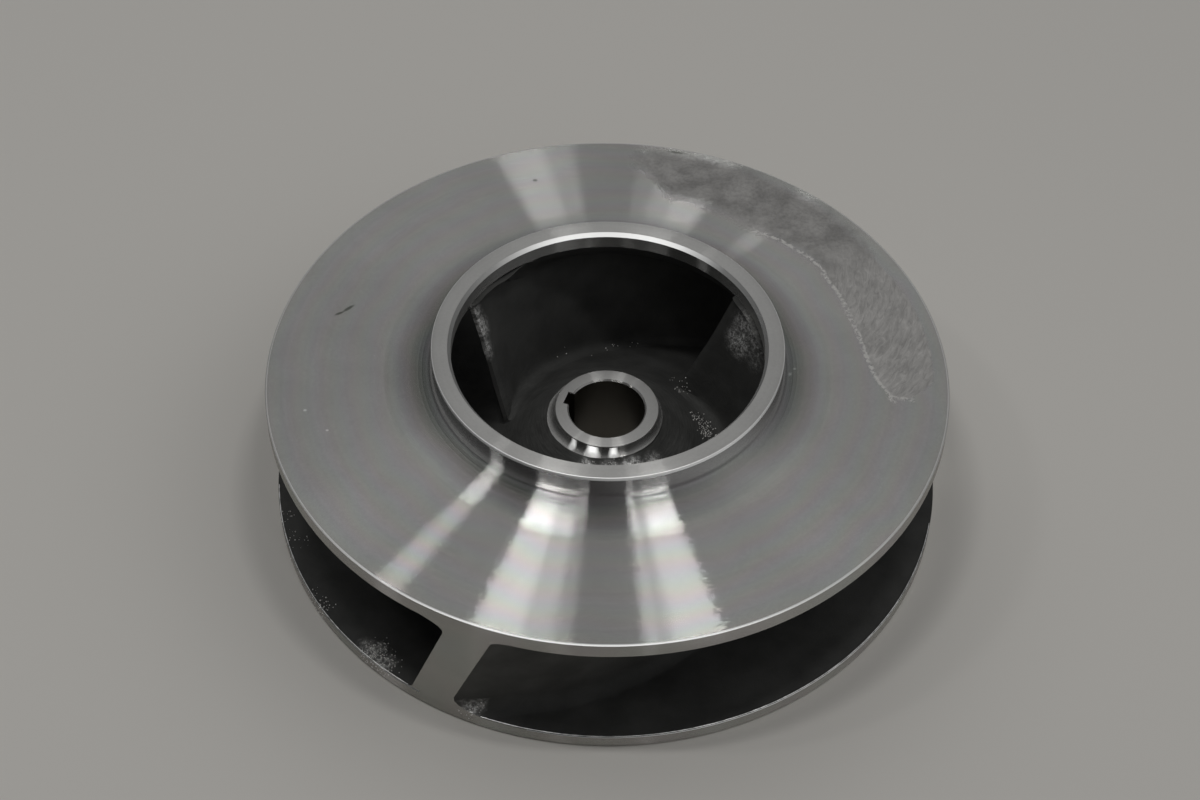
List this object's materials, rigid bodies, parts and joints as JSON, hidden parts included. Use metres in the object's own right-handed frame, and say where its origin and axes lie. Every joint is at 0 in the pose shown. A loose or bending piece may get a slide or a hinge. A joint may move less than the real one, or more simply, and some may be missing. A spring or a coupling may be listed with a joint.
{
  "type": "closed centrifugal pump impeller",
  "caption": "Closed centrifugal pump impeller: spiral vanes between a rear and a front shroud, a raised eye ring, and a hub with a keyed bore.",
  "frame": {"origin": "centre of the rear face, on the shaft's axis, where the impeller rests with its eye facing up", "axes": "+Z along the shaft's axis towards the eye, +Y away from the picture's camera"},
  "size_m": [0.39, 0.39, 0.1137],
  "materials": {
    "stainless_casting": "satin turned outside, dark and rough as cast inside the passages"
  },
  "bodies": {
    "root": {"impeller_casting": "stainless_casting"}
  },
  "joints": []
}
